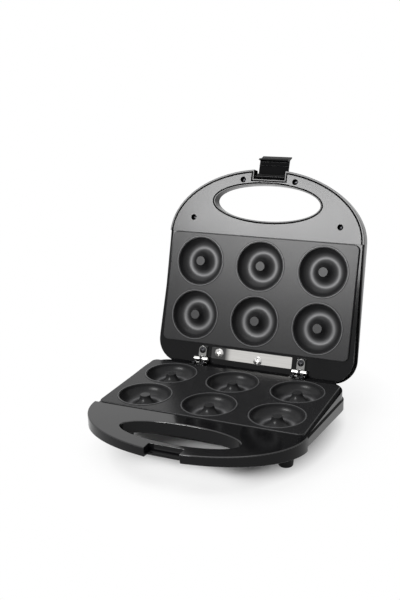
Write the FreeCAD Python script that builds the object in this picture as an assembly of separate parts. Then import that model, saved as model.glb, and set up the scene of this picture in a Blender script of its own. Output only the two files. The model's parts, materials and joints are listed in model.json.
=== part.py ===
import FreeCAD, Part
import math
import os

from FreeCAD import Rotation, Vector

# All sizes in millimetres. While the model is built, z = 0 is the cooking face of the lower plate,
# y = 0 is the middle of the plates, +y points to the hinge, and the lid lies closed.

# Cooking plates and their ring moulds
PLATE_W = 216.0
PLATE_D = 123.5
PLATE_CORNER_R = 6.0
PLATE_EDGE_R = 0.8
PLATE_T = 3.0
PLATE_GAP = 1.4
SKIRT_INSET = 4.0
SKIRT_DEPTH = 9.0
SKIRT_T = 2.5
SKIRT_CORNER_R = 2.0
MOULD_COLS = 3
MOULD_ROWS = 2
MOULD_MARGIN_X = 9.0
MOULD_MARGIN_Y = 3.85
RING_R = 15.7
RING_TUBE_R = 10.7
CUP_WALL = 2.0
CUP_TAPER = 6.0
POST_DROP = 0.6
LIP_R = 27.6
LIP_W = 1.8
LIP_SLOPE = 0.5
LIP_RISE = 0.5
BOSS_MARGIN = 10.5
PLATE_BOSS_R = 4.5
PLATE_BOSS_DEPTH = 10.0

# Clearances
FIT = 0.5
SEAT = 0.2
RUNNING = 0.05

# Hinges
LID_OPEN = 108.0
HINGE_BEHIND_PLATE = 17.0
HINGE_X = 57.5
HINGE_PIN_R = 1.5
LEAF_T = 1.2
KNUCKLE_L = 6.7
KNUCKLE_MID_L = 2.6
KNUCKLE_PLAY = 0.2
LEAF_L = 11.5
LID_TAB_W = 9.0
LID_TAB_HOLE_R = 1.6

# Screws
SCREW_R = 1.5
SCREW_HEAD_R = 2.6
SCREW_HEAD_T = 1.4
SCREW_BITE = 5.0

# Lower housing
TUB_MARGIN = 3.5
TUB_FLARE = 2.5
TUB_FRONT_R = 4.0
TUB_BEHIND_PLATE = 14.5
TUB_REAR_R = 26.0
TUB_WALL = 2.5
TUB_FRONT_WALL = 3.75
TUB_STEP = 1.6
BAND_TOP_FRONT = -4.2
BAND_TOP_REAR = -14.0
BAND_LOW_FRONT = -12.0
BAND_LOW_REAR = -25.5
BELLY_TOP = -12.0
BELLY_LOW = -27.0
BELLY_INSET_SIDE = 16.0
BELLY_INSET_FRONT = 3.0
BELLY_INSET_REAR = 6.0
STOP_RIB_X = 28.0
STOP_RIB_W = 4.0
STOP_RIB_H = 5.0
INLET_X = -40.0
INLET_W = 10.0
INLET_TOP = -16.5

# Feet
FOOT_H = 15.0
FOOT_INSET_SIDE = 25.5
FOOT_INSET_FRONT = 15.5
FOOT_INSET_REAR = 15.0
FOOT_TOP_R = 8.5
FOOT_LOW_R = 7.0
FOOT_ROUND = 1.5
FOOT_STEM_R = 3.0
FOOT_STEM_L = 5.0

# Handles, whose front outline both housings share
HANDLE_LAP = 1.5
HANDLE_OVERHANG = 1.0
HANDLE_REACH = 75.7
HANDLE_WALL = 2.5
HANDLE_EDGE_R = 1.2
GRIP_SET = 18.75
GRIP_BAR = 5.9
GRIP_HALF_X = 61.0
BASE_HANDLE_TOP = -1.0
BASE_HANDLE_LOW_FRONT = -10.0
BASE_HANDLE_LOW_REAR = -15.5
UNDERSIDE_T = 2.0
HANDLE_BOSS_R = 4.0
FRONT_SCREW_X = 30.0
FRONT_SCREW_IN = 12.5
REAR_SCREW_INSET = 27.5
REAR_SCREW_SET = 18.0
TUB_SCREW_INSET = 41.5
TUB_SCREW_BITE = 5.0
TUB_SCREW_BOSS_L = 7.5

# Lid housing
LID_FLARE = 4.0
LID_OVERHANG = 12.0
LID_CORNER_R = 28.0
LID_WALL = 2.0
LID_FRONT_TOP = 12.6
LID_SLOPE = 0.12
LID_CROWN_R = 18.0
LID_EDGE_R = 1.5
LID_TOP_STEEPEST = 25.0
LID_SHOULDER = 15.0
LID_LEAN_SIDE = 9.0
LID_LEAN_FRONT = 1.5
LID_LEAN_HEIGHT = 24.0
CREASE_X = 30.0
CREASE_SET = 26.0
CREASE_SPREAD = 14.5
CREASE_FALL = 2.0
RIM_FRONT = 4.0
RIM_REAR = 16.0
COLLAR_STEP = 2.2
COLLAR_T = 2.5
COLLAR_TOP = 19.0
GRIP_WALL = 1.5
PANEL_T = 2.5
PANEL_GAP = 1.2
PANEL_CUP_R = 3.0
PANEL_CUP_DEPTH = 4.5
PANEL_CUP_WALL = 1.2
COVER_T = 1.2
COVER_MARGIN = 3.0

# Latch
LATCH_SWING = 95.0
LATCH_W = 34.0
LATCH_PLAY = 0.9
LATCH_PIVOT_Z = 8.0
LATCH_PIN_R = 1.25
LATCH_BARREL_R = 3.2
LATCH_BARREL_IN = 7.45
LATCH_BARREL_PLAY = 0.5
LATCH_ARM_T = 2.6
LATCH_ARM_OUT = 7.0
LATCH_HOOK_T = 2.2
LATCH_HOOK_REACH = 8.4
LATCH_HOOK_PLAY = 0.6
LATCH_ROUND = 3.6
LATCH_TAB_OUT = 5.0
LATCH_TAB_DROP = 3.4
LATCH_TAB_T = 1.8
LATCH_RIB_R = 0.65
LATCH_RIB_DROP = 13.5
RAIL_OUT = 1.5
RAIL_D = 2.3
RAIL_H = 2.2

# Heating elements and shields
ELEMENT_R = 2.75
ELEMENT_TURN_INSET = 18.0
ELEMENT_END_INSET = 24.0
ELEMENT_TURN_R = 20.0
TERMINAL_R = 1.2
TERMINAL_L = 8.0
SHIELD_T = 0.5
SHIELD_INSET_SIDE = 20.0
SHIELD_INSET_REAR = 9.0
LID_SHIELD_INSET = 38.0
SHIELD_R = 6.0
SHIELD_POST_R = 7.0

# Lens bezel, lenses and lamps
BEZEL_SET = 3.0
BEZEL_HALF_X = 22.0
BEZEL_HALF_Y = 6.5
BEZEL_T = 1.2
BEZEL_PLUG_INSET = 2.0
BEZEL_PLUG_L = 6.0
LENS_X = 10.0
LENS_R = 3.8
LENS_RISE = 0.8
LAMP_R = 2.5
LAMP_L = 4.0

# Small electrical pieces
THERMOSTAT_R = 7.0
THERMOSTAT_H = 7.0
FUSE_R = 2.5
FUSE_L = 16.0
BLOCK_L = 24.0
BLOCK_D = 8.0
BLOCK_H = 9.0

# Steel strip on the lid's collar, between the hinges
STRIP_INSET = 10.5
STRIP_FROM_PLATE = 2.5
STRIP_FROM_HINGE = 2.0
STRIP_T = 1.0
STRIP_SCREW_IN = 9.0
STRIP_SCREW_X = 8.0
STRIP_SCREW_SET = 6.0
STRIP_SCREW_STEP = 3.0
STRIP_HEAD_R = 3.6

# Sizes that follow
HALF_W = PLATE_W / 2
HALF_D = PLATE_D / 2
MOULD_PITCH_X = (HALF_W - MOULD_MARGIN_X - LIP_R) * 2 / (MOULD_COLS - 1)
MOULD_PITCH_Y = (HALF_D - MOULD_MARGIN_Y - LIP_R) * 2 / (MOULD_ROWS - 1)
PLATE_BOSS_X = MOULD_PITCH_X / 2
PLATE_BOSS_Y = HALF_D - BOSS_MARGIN
HINGE_Y = HALF_D + HINGE_BEHIND_PLATE
HINGE_Z = PLATE_GAP / 2
KNUCKLE_R = HINGE_PIN_R + LEAF_T + RUNNING
SPLIT_Y = -HALF_D - FIT
DECK_Z = -PLATE_T - SEAT
COLLAR_Z = PLATE_GAP - DECK_Z
PAD_Z = HINGE_Z - KNUCKLE_R
BASE_CUP_Z = -RING_TUBE_R - CUP_WALL
ELEMENT_Z = BASE_CUP_Z - SEAT - ELEMENT_R
ELEMENT_END_X = HALF_W - ELEMENT_TURN_INSET
ELEMENT_START_X = ELEMENT_END_INSET - HALF_W
SHIELD_Z = ELEMENT_Z - ELEMENT_R - SEAT - SHIELD_T
SHIELD_HALF_X = HALF_W - SHIELD_INSET_SIDE
SHIELD_REAR = HALF_D - SHIELD_INSET_REAR
LID_SHIELD_FRONT = LID_SHIELD_INSET - HALF_D
TUB_HALF_FRONT = HALF_W + TUB_MARGIN
TUB_HALF_REAR = TUB_HALF_FRONT + TUB_FLARE
TUB_REAR = HALF_D + TUB_BEHIND_PLATE
BELLY_FLOOR = BELLY_LOW + TUB_WALL
TUB_SCREW_X = [TUB_SCREW_INSET - TUB_HALF_FRONT, 0.0, TUB_HALF_FRONT - TUB_SCREW_INSET]
TUB_SCREW_Z = -SKIRT_DEPTH - SEAT - SCREW_HEAD_R
FLOOR = BELLY_LOW - FOOT_H
FOOT_X = TUB_HALF_FRONT - FOOT_INSET_SIDE
FOOT_FRONT_Y = SPLIT_Y + FOOT_INSET_FRONT
FOOT_REAR_Y = TUB_REAR - FOOT_INSET_REAR
HANDLE_Y = SPLIT_Y + HANDLE_LAP
HANDLE_HALF = TUB_HALF_FRONT + HANDLE_OVERHANG
HANDLE_FRONT = HANDLE_Y - HANDLE_REACH
HANDLE_SCREWS = [(FRONT_SCREW_X, HANDLE_FRONT + FRONT_SCREW_IN),
                 (HANDLE_HALF - REAR_SCREW_INSET, HANDLE_Y - REAR_SCREW_SET)]
LID_HALF_REAR = HANDLE_HALF + LID_FLARE
LID_REAR = TUB_REAR + LID_OVERHANG
PANEL_BACK = PLATE_GAP + PANEL_CUP_DEPTH + PANEL_CUP_WALL
LATCH_PIVOT_Y = HANDLE_FRONT + LATCH_BARREL_IN
NOTCH_HALF = LATCH_W / 2 + LATCH_PLAY
NOTCH_Y = LATCH_PIVOT_Y + LATCH_BARREL_R + LATCH_BARREL_PLAY
RAIL_LOW = BASE_HANDLE_LOW_FRONT
RAIL_FRONT = LATCH_PIVOT_Y - RAIL_OUT
GRIP_FRONT = NOTCH_Y + GRIP_BAR
GRIP_REAR = HANDLE_Y - GRIP_SET
GRIP_Y = (GRIP_FRONT + GRIP_REAR) / 2
GRIP_HALF_Y = (GRIP_REAR - GRIP_FRONT) / 2
BEZEL_Y = HANDLE_Y - BEZEL_SET
STRIP_HALF_X = HINGE_X - STRIP_INSET
STRIP_FRONT = HALF_D + STRIP_FROM_PLATE
STRIP_REAR = HINGE_Y - STRIP_FROM_HINGE
STRIP_SCREWS = [(STRIP_SCREW_IN - STRIP_HALF_X, STRIP_FRONT + STRIP_SCREW_SET),
                (STRIP_SCREW_X, STRIP_FRONT + STRIP_SCREW_SET + STRIP_SCREW_STEP)]
SIDES = (-1, 1)
FAR = 400.0


def corner(before, at, after, radius):
    """Start, middle and end of the arc that rounds one corner."""
    u = (before - at).normalize()
    w = (after - at).normalize()
    half = u.getAngle(w) / 2
    middle_line = (u + w).normalize()
    reach = radius / math.tan(half)
    middle = at + middle_line * (radius / math.sin(half) - radius)
    return at + u * reach, middle, at + w * reach


def line(a, b):
    return Part.LineSegment(a, b).toShape()


def rounded(points, radii):
    """Closed outline in the XY plane with each corner rounded by its radius."""
    points = [Vector(x, y, 0) for x, y in points]
    turns = []
    for i, radius in enumerate(radii):
        if radius:
            turns.append(corner(points[i - 1], points[i], points[(i + 1) % len(points)], radius))
        else:
            turns.append((points[i], None, points[i]))
    edges = []
    for i, (start, middle, end) in enumerate(turns):
        if middle:
            edges.append(Part.Arc(start, middle, end).toShape())
        edges.append(line(end, turns[(i + 1) % len(turns)][0]))
    return Part.Wire(edges)


def prism(outline, z0, z1):
    solid = Part.Face(outline).extrude(Vector(0, 0, z1 - z0))
    return solid.translate(Vector(0, 0, z0))


def side_prism(points, radii, half_width):
    """Prism along X whose points are (y, z)."""
    solid = prism(rounded(points, radii), -half_width, half_width)
    return solid.rotate(Vector(0, 0, 0), Vector(1, 1, 1), 120)


def box(x0, x1, y0, y1, z0, z1):
    return Part.makeBox(x1 - x0, y1 - y0, z1 - z0, Vector(x0, y0, z0))


def rod(x, y, z0, z1, radius):
    return Part.makeCylinder(radius, z1 - z0, Vector(x, y, z0))


def cross_rod(x0, x1, y, z, radius):
    return Part.makeCylinder(radius, x1 - x0, Vector(x0, y, z), Vector(1, 0, 0))


def deep_rod(x, y0, y1, z, radius):
    return Part.makeCylinder(radius, y1 - y0, Vector(x, y0, z), Vector(0, 1, 0))


def loft(low, z_low, high, z_high):
    low.translate(Vector(0, 0, z_low))
    high.translate(Vector(0, 0, z_high))
    return Part.makeLoft([low, high], True, True)


def oval(half_x, half_y, y, z0, z1):
    ring = Part.Ellipse(Vector(0, y, 0), half_x, half_y).toShape()
    return prism(Part.Wire([ring]), z0, z1)


def to_lid(shape):
    """Turn a lower piece over to its place in the closed lid."""
    return shape.rotate(Vector(0, 0, PLATE_GAP / 2), Vector(1, 0, 0), 180)


def softened(solid, radius, chosen):
    """The solid with a fillet on each chosen edge."""
    return solid.makeFillet(radius, [edge for edge in solid.Edges if chosen(edge.BoundBox)])


def plate_rect(inset, radius):
    x = HALF_W - inset
    y = HALF_D - inset
    return rounded([(-x, -y), (x, -y), (x, y), (-x, y)], [radius] * 4)


def skirt_rect(inset):
    return plate_rect(SKIRT_INSET + inset, SKIRT_CORNER_R)


def mould_centres():
    for col in range(MOULD_COLS):
        for row in range(MOULD_ROWS):
            x = (col - (MOULD_COLS - 1) / 2) * MOULD_PITCH_X
            y = (row - (MOULD_ROWS - 1) / 2) * MOULD_PITCH_Y
            yield x, y


def boss_places():
    return [(sx * PLATE_BOSS_X, sy * PLATE_BOSS_Y) for sx in SIDES for sy in SIDES]


# Cooking plate: a flange with a skirt below it, six cups, a ring mould and lip in each, screw bosses
def lip(at):
    """Flat-topped ring that stands round a mould."""
    inner = LIP_R - LIP_W / 2
    outer = LIP_R + LIP_W / 2
    points = [(inner, -LIP_RISE), (inner, 0), (inner + LIP_SLOPE, LIP_RISE), (outer - LIP_SLOPE, LIP_RISE),
              (outer, 0), (outer, -LIP_RISE), (inner, -LIP_RISE)]
    section = Part.Face(Part.makePolygon([Vector(r, 0, z) for r, z in points]))
    return section.revolve(Vector(0, 0, 0), Vector(0, 0, 1), 360).translate(at)


def cooking_plate():
    plate = prism(plate_rect(0, PLATE_CORNER_R), -PLATE_T, 0)
    plate = softened(plate, PLATE_EDGE_R, lambda edge: edge.ZMin > -PLATE_T / 2)
    skirt = prism(skirt_rect(0), -SKIRT_DEPTH, -PLATE_T)
    plate = plate.fuse(skirt.cut(prism(skirt_rect(SKIRT_T), -SKIRT_DEPTH, -PLATE_T)))
    mouth = RING_R + RING_TUBE_R + CUP_WALL
    cup_h = -BASE_CUP_Z - PLATE_T
    added = []
    cuts = []
    for x, y in mould_centres():
        at = Vector(x, y, 0)
        cup = Part.makeCone(mouth - CUP_TAPER, mouth, cup_h, at + Vector(0, 0, BASE_CUP_Z))
        added.append(cup.common(prism(skirt_rect(0), BASE_CUP_Z, -PLATE_T)))
        added.append(lip(at))
        cuts.append(Part.makeTorus(RING_R, RING_TUBE_R, at))
        cuts.append(rod(x, y, -POST_DROP, PLATE_T, RING_R))
    for x, y in boss_places():
        added.append(rod(x, y, -PLATE_BOSS_DEPTH, -PLATE_T, PLATE_BOSS_R))
        cuts.append(rod(x, y, -PLATE_BOSS_DEPTH, -PLATE_T, SCREW_R))
    return plate.fuse(added).cut(cuts).removeSplitter()


# Tubular heating element: two runs under the rows of cups, joined by a turn, with a pin at each end
def heating_element():
    y = MOULD_PITCH_Y / 2
    turn = rounded([(ELEMENT_START_X, -y), (ELEMENT_END_X, -y), (ELEMENT_END_X, y), (ELEMENT_START_X, y)],
                   [0, ELEMENT_TURN_R, ELEMENT_TURN_R, 0])
    path = Part.Wire(turn.Edges[:-1])
    path.translate(Vector(0, 0, ELEMENT_Z))
    section = Part.makeCircle(ELEMENT_R, Vector(ELEMENT_START_X, -y, ELEMENT_Z), Vector(1, 0, 0))
    tube = path.makePipeShell([Part.Wire([section])], True, True)
    for side in SIDES:
        pin = cross_rod(ELEMENT_START_X - TERMINAL_L, ELEMENT_START_X, side * y, ELEMENT_Z, TERMINAL_R)
        tube = tube.fuse(pin)
    return tube


def heat_shield(y0, y1):
    x = SHIELD_HALF_X
    outline = rounded([(-x, y0), (x, y0), (x, y1), (-x, y1)], [SHIELD_R] * 4)
    sheet = prism(outline, SHIELD_Z, SHIELD_Z + SHIELD_T)
    holes = [rod(x, y, SHIELD_Z, SHIELD_Z + SHIELD_T, PLATE_BOSS_R + FIT) for x, y in boss_places()]
    return sheet.cut(holes)


# Lower housing
def tub_plan(side, front, rear):
    half_front = TUB_HALF_FRONT - side
    half_rear = TUB_HALF_REAR - side
    y0 = SPLIT_Y + front
    y1 = TUB_REAR - rear
    return rounded([(-half_front, y0), (half_front, y0), (half_rear, y1), (-half_rear, y1)],
                   [TUB_FRONT_R, TUB_FRONT_R, TUB_REAR_R - side, TUB_REAR_R - side])


def beside(front_z, rear_z, reach):
    """Everything beyond a line that falls from the tub's front to its rear, in side view."""
    y0, y1 = SPLIT_Y, TUB_REAR
    return side_prism([(y0, front_z), (y1, rear_z), (y1, reach), (y0, reach)], [0] * 4, FAR)


def belly_post(x, y):
    post = rod(x, y, BELLY_LOW, -PLATE_BOSS_DEPTH - SEAT, PLATE_BOSS_R)
    return post.fuse(rod(x, y, BELLY_LOW, SHIELD_Z - SEAT, SHIELD_POST_R))


def foot_places():
    return {f"foot_{row}_{'left' if side < 0 else 'right'}": (side * FOOT_X, y)
            for row, y in (("front", FOOT_FRONT_Y), ("rear", FOOT_REAR_Y)) for side in SIDES}


def base_tub():
    ring_in = TUB_STEP + TUB_WALL
    ring = prism(tub_plan(0, 0, 0), BELLY_LOW, DECK_Z)
    ring = ring.cut(beside(BAND_LOW_FRONT, BAND_LOW_REAR, -FAR))
    step = prism(tub_plan(0, 0, 0), BELLY_LOW, 0).cut(prism(tub_plan(TUB_STEP, 0, TUB_STEP), BELLY_LOW, 0))
    ring = ring.cut(step.common(beside(BAND_TOP_FRONT, BAND_TOP_REAR, FAR)))
    ring = ring.cut(prism(tub_plan(ring_in, TUB_WALL, ring_in), BELLY_LOW, DECK_Z - TUB_WALL))
    belly_in = TUB_STEP + TUB_WALL / 2
    front = TUB_WALL / 2
    belly = prism(tub_plan(belly_in, front, belly_in), BELLY_TOP, DECK_Z - TUB_WALL / 2)
    low = tub_plan(BELLY_INSET_SIDE, BELLY_INSET_FRONT, BELLY_INSET_REAR)
    belly = belly.fuse(loft(low, BELLY_LOW, tub_plan(belly_in, front, belly_in), BELLY_TOP))
    inner = belly_in + TUB_WALL
    front = TUB_FRONT_WALL
    hollow = prism(tub_plan(inner, front, inner), BELLY_TOP, DECK_Z - TUB_WALL)
    floor = tub_plan(BELLY_INSET_SIDE + TUB_WALL, BELLY_INSET_FRONT + TUB_WALL, BELLY_INSET_REAR + TUB_WALL)
    hollow = hollow.fuse(loft(floor, BELLY_FLOOR, tub_plan(inner, front, inner), BELLY_TOP))
    tub = ring.fuse(belly).cut(hollow)
    tub = tub.cut(prism(skirt_rect(-FIT), BELLY_TOP, 0))
    pad_half = KNUCKLE_L + KNUCKLE_MID_L / 2 + KNUCKLE_PLAY
    pad_y = TUB_REAR - TUB_STEP
    for side in SIDES:
        x = side * HINGE_X
        tub = tub.fuse(box(x - pad_half, x + pad_half, HINGE_Y - LEAF_L - KNUCKLE_R, pad_y, DECK_Z, PAD_Z))
        tub = tub.fuse(stop_rib(side * STOP_RIB_X))
    return base_tub_cuts(tub.fuse([belly_post(x, y) for x, y in boss_places()]))


def stop_rib(x):
    """Rib on the rear wall that the open lid's lower rear edge comes to rest against."""
    edge = Vector(x, LID_REAR - COLLAR_STEP, COLLAR_Z)
    turn = Rotation(Vector(1, 0, 0), -LID_OPEN)
    hinge = Vector(x, HINGE_Y, HINGE_Z)
    edge = hinge + turn.multVec(edge - hinge)
    half = STOP_RIB_W / 2
    root = TUB_REAR - TUB_STEP - TUB_WALL
    return box(x - half, x + half, root, edge.y - SEAT, edge.z - STOP_RIB_H / 2, edge.z + STOP_RIB_H / 2)


def base_tub_cuts(tub):
    head_z = SHIELD_Z
    cuts = []
    for x, y in boss_places():
        cuts.append(rod(x, y, BELLY_LOW, 0, SCREW_R + RUNNING))
        cuts.append(rod(x, y, BELLY_LOW, head_z, SCREW_HEAD_R + SEAT))
    for x, y in foot_places().values():
        cuts.append(rod(x, y, BELLY_LOW, BELLY_FLOOR, FOOT_STEM_R + RUNNING))
    for x in TUB_SCREW_X:
        cuts.append(deep_rod(x, SPLIT_Y, SPLIT_Y + TUB_FRONT_WALL + FIT, TUB_SCREW_Z, SCREW_R + RUNNING))
    half = INLET_W / 2
    inlet_y = SHIELD_REAR + TUB_WALL
    middle = INLET_TOP - half
    cuts.append(box(INLET_X - half, INLET_X + half, inlet_y, TUB_REAR + FIT, BELLY_FLOOR, middle))
    cuts.append(box(INLET_X - half, INLET_X + half, TUB_REAR - TUB_STEP - TUB_WALL, TUB_REAR + FIT,
                    BELLY_LOW, middle))
    cuts.append(deep_rod(INLET_X, inlet_y, TUB_REAR + FIT, middle, half))
    for side in SIDES:
        for place in (-1, 1):
            x, y = hinge_screw(side, place)
            cuts.append(rod(x, y, DECK_Z - TUB_WALL, PAD_Z, SCREW_R + RUNNING))
    return tub.cut(cuts).removeSplitter()


def foot(x, y):
    body = Part.makeCone(FOOT_LOW_R, FOOT_TOP_R, BELLY_LOW - FLOOR, Vector(x, y, FLOOR))
    low_rim = [edge for edge in body.Edges if edge.BoundBox.ZMax < FLOOR + FOOT_ROUND / 2]
    body = body.makeFillet(FOOT_ROUND, low_rim)
    return body.fuse(rod(x, y, BELLY_LOW, BELLY_LOW + FOOT_STEM_L, FOOT_STEM_R))


# Handle outline and grip hole
def crescent(inset):
    a = HANDLE_HALF - inset
    b = HANDLE_REACH - inset
    arc = Part.ArcOfEllipse(Part.Ellipse(Vector(0, HANDLE_Y, 0), a, b), math.pi, 2 * math.pi).toShape()
    return Part.Wire([arc, line(Vector(a, HANDLE_Y, 0), Vector(-a, HANDLE_Y, 0))])


def handle_prism(inset, rear_y, z0, z1):
    return prism(crescent(inset), z0, z1).common(box(-FAR, FAR, -FAR, rear_y, z0, z1))


def grip(extra, z0, z1):
    return oval(GRIP_HALF_X + extra, GRIP_HALF_Y + extra, GRIP_Y, z0, z1)


def notch(extra, z0, z1):
    return box(-NOTCH_HALF - extra, NOTCH_HALF + extra, -FAR, NOTCH_Y + extra, z0, z1)


def handle_bosses(z0, z1, radius):
    return [rod(side * x, y, z0, z1, radius) for x, y in HANDLE_SCREWS for side in SIDES]


def base_handle_low(lift, reach):
    """Everything below the handle's sloping underside, raised by lift."""
    y0, y1 = HANDLE_FRONT, SPLIT_Y
    points = [(y0, BASE_HANDLE_LOW_FRONT + lift), (y1, BASE_HANDLE_LOW_REAR + lift), (y1, reach), (y0, reach)]
    return side_prism(points, [0] * 4, FAR)


def base_handle_block():
    """The whole lower handle, with its front and grip edges rounded on top."""
    z0 = BASE_HANDLE_LOW_REAR
    top = BASE_HANDLE_TOP
    block = handle_prism(0, SPLIT_Y, z0, top).cut(grip(0, z0, top))
    block = softened(block, HANDLE_EDGE_R, lambda edge: edge.ZMin > top - FIT and edge.YMin < SPLIT_Y - FIT)
    return block.cut(base_handle_low(0, -FAR))


def base_handle():
    z0 = BASE_HANDLE_LOW_REAR
    top = BASE_HANDLE_TOP
    hollow = handle_prism(HANDLE_WALL, SPLIT_Y - HANDLE_WALL, z0, top - HANDLE_WALL)
    hollow = hollow.cut([grip(HANDLE_WALL, z0, top), notch(HANDLE_WALL, z0, top)])
    hollow = hollow.cut(handle_bosses(z0, top, HANDLE_BOSS_R))
    for x in TUB_SCREW_X:
        hollow = hollow.cut(deep_rod(x, SPLIT_Y - TUB_SCREW_BOSS_L, SPLIT_Y, TUB_SCREW_Z, HANDLE_BOSS_R))
    seat = handle_prism(HANDLE_WALL, SPLIT_Y - HANDLE_WALL, z0, top)
    seat = seat.cut([grip(HANDLE_WALL, z0, top), notch(HANDLE_WALL, z0, top)])
    seat = seat.cut(base_handle_low(UNDERSIDE_T, FAR))
    body = base_handle_block().cut(hollow).cut(seat).cut(notch(0, z0, top))
    body = body.fuse(latch_rail())
    body = body.cut(handle_bosses(z0, top - HANDLE_WALL, SCREW_R))
    for x in TUB_SCREW_X:
        body = body.cut(deep_rod(x, SPLIT_Y - TUB_SCREW_BITE, SPLIT_Y, TUB_SCREW_Z, SCREW_R))
    return body.removeSplitter()


def latch_rail():
    """Bar across the foot of the notch, which the clip hooks under."""
    reach = NOTCH_HALF + HANDLE_WALL / 2
    return box(-reach, reach, RAIL_FRONT, RAIL_FRONT + RAIL_D, RAIL_LOW, RAIL_LOW + RAIL_H)


def base_handle_underside():
    z0 = BASE_HANDLE_LOW_REAR
    top = BASE_HANDLE_TOP
    inset = HANDLE_WALL + SEAT
    plate = handle_prism(inset, SPLIT_Y - inset, z0, top)
    plate = plate.cut([base_handle_low(0, -FAR), base_handle_low(UNDERSIDE_T, FAR)])
    plate = plate.cut([grip(inset, z0, top), notch(inset, z0, top)])
    return plate.cut(handle_bosses(z0, top, SCREW_R + RUNNING))


# Lid housing
def lid_plan(side, front, rear):
    a = HANDLE_HALF - side
    b = HANDLE_REACH - front
    half = LID_HALF_REAR - side
    back = LID_REAR - rear
    arc = Part.ArcOfEllipse(Part.Ellipse(Vector(0, HANDLE_Y, 0), a, b), math.pi, 2 * math.pi).toShape()
    p0, p1 = Vector(a, HANDLE_Y, 0), Vector(half, back, 0)
    p2, p3 = Vector(-half, back, 0), Vector(-a, HANDLE_Y, 0)
    s1, m1, e1 = corner(p0, p1, p2, LID_CORNER_R - side)
    s2, m2, e2 = corner(p1, p2, p3, LID_CORNER_R - side)
    return Part.Wire([arc, line(p0, s1), Part.Arc(s1, m1, e1).toShape(), line(e1, s2),
                      Part.Arc(s2, m2, e2).toShape(), line(e2, p3)])


def lid_top_z(y):
    return LID_FRONT_TOP + (y - HANDLE_FRONT) * LID_SLOPE


def above_crease(side, drop):
    """Everything above one outer part of the lid's top, which falls away from a crease line."""
    y = HANDLE_Y + CREASE_SET
    space = box(min(0, side * FAR), max(0, side * FAR), -FAR, FAR, 0, FAR)
    space.rotate(Vector(0, 0, 0), Vector(0, 1, 0), side * CREASE_FALL)
    space.rotate(Vector(0, 0, 0), Vector(0, 0, 1), -side * CREASE_SPREAD)
    space.rotate(Vector(0, 0, 0), Vector(1, 0, 0), math.degrees(math.atan(LID_SLOPE)))
    return space.translate(Vector(side * CREASE_X, y, lid_top_z(y) - drop))


def lid_under_top(drop, rear):
    """Everything under the lid's sloping top, its two creases and its rounded rear crown."""
    y0 = HANDLE_FRONT - FIT
    y1 = LID_REAR - rear
    points = [(y0, 0), (y1, 0), (y1, lid_top_z(y1) - drop), (y0, lid_top_z(y0) - drop)]
    under = side_prism(points, [0, 0, LID_CROWN_R - rear, 0], FAR)
    return under.cut([above_crease(side, drop) for side in SIDES])


def lid_block(inset, drop):
    low = prism(lid_plan(inset, inset, inset), 0, LID_SHOULDER)
    lean = lid_plan(inset + LID_LEAN_SIDE, inset + LID_LEAN_FRONT, inset + LID_LEAN_SIDE)
    high = loft(lid_plan(inset, inset, inset), LID_SHOULDER, lean, LID_SHOULDER + LID_LEAN_HEIGHT)
    return low.fuse(high).common(lid_under_top(drop, inset))


def lid_outer():
    """The lid's outer form, rounded where its top turns down to its sides."""
    block = lid_block(0, 0)
    level = math.cos(math.radians(LID_TOP_STEEPEST))
    edges = []
    for face in block.Faces:
        u0, u1, v0, v1 = face.ParameterRange
        if face.normalAt((u0 + u1) / 2, (v0 + v1) / 2).z > level:
            edges += face.Edges
    outline = [edge for edge in edges if sum(edge.isSame(other) for other in edges) == 1]
    return block.makeFillet(LID_EDGE_R, outline)


def below_rim():
    """What is cut away below the lid's rim, which rises from the handle to the rear."""
    low = -PLATE_T
    points = [(-FAR, low), (FAR, low), (LID_REAR, RIM_REAR), (SPLIT_Y, RIM_FRONT),
              (SPLIT_Y, PLATE_GAP), (-FAR, PLATE_GAP)]
    return side_prism(points, [0] * 6, FAR)


def cover_slab(margin):
    return lid_block(margin, 0).cut(lid_under_top(COVER_T, 0))


def lid_posts():
    z = PLATE_GAP + PLATE_BOSS_DEPTH + SEAT
    return [rod(x, y, z, FAR, PLATE_BOSS_R) for x, y in boss_places()]


def lid_shell():
    hollow = lid_block(LID_WALL, COVER_T + LID_WALL)
    shell = lid_outer().cut(hollow).cut(below_rim())
    bay = prism(skirt_rect(-FIT), 0, COLLAR_TOP)
    inside = lid_block(COLLAR_STEP, COVER_T)
    collar = inside.common(box(-FAR, FAR, SPLIT_Y, FAR, COLLAR_Z, COLLAR_TOP))
    core_in = COLLAR_STEP + COLLAR_T
    core = prism(lid_plan(core_in, core_in, core_in), 0, COLLAR_TOP)
    core = core.common(box(-FAR, FAR, SPLIT_Y + COLLAR_T, FAR, COLLAR_Z + COLLAR_T, COLLAR_TOP))
    collar = collar.cut([bay, core])
    shell = shell.fuse(collar)
    pad_half = LID_TAB_W / 2 + LEAF_T
    for side in SIDES:
        x = side * HINGE_X
        pad = box(x - pad_half, x + pad_half, HINGE_Y - LEAF_L - KNUCKLE_R, HINGE_Y - KNUCKLE_R,
                  HINGE_Z + KNUCKLE_R, COLLAR_Z)
        shell = shell.fuse(pad)
    solids = handle_bosses(PANEL_BACK, FAR, HANDLE_BOSS_R) + lid_posts()
    solids += [rod(x, y, PLATE_GAP - SHIELD_Z + SEAT, FAR, SHIELD_POST_R) for x, y in boss_places()]
    solids += [grip(GRIP_WALL, PLATE_GAP, FAR), notch(GRIP_WALL, PLATE_GAP, FAR)]
    for solid in solids:
        shell = shell.fuse(solid.common(lid_block(0, COVER_T)))
    return lid_shell_cuts(shell)


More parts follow.
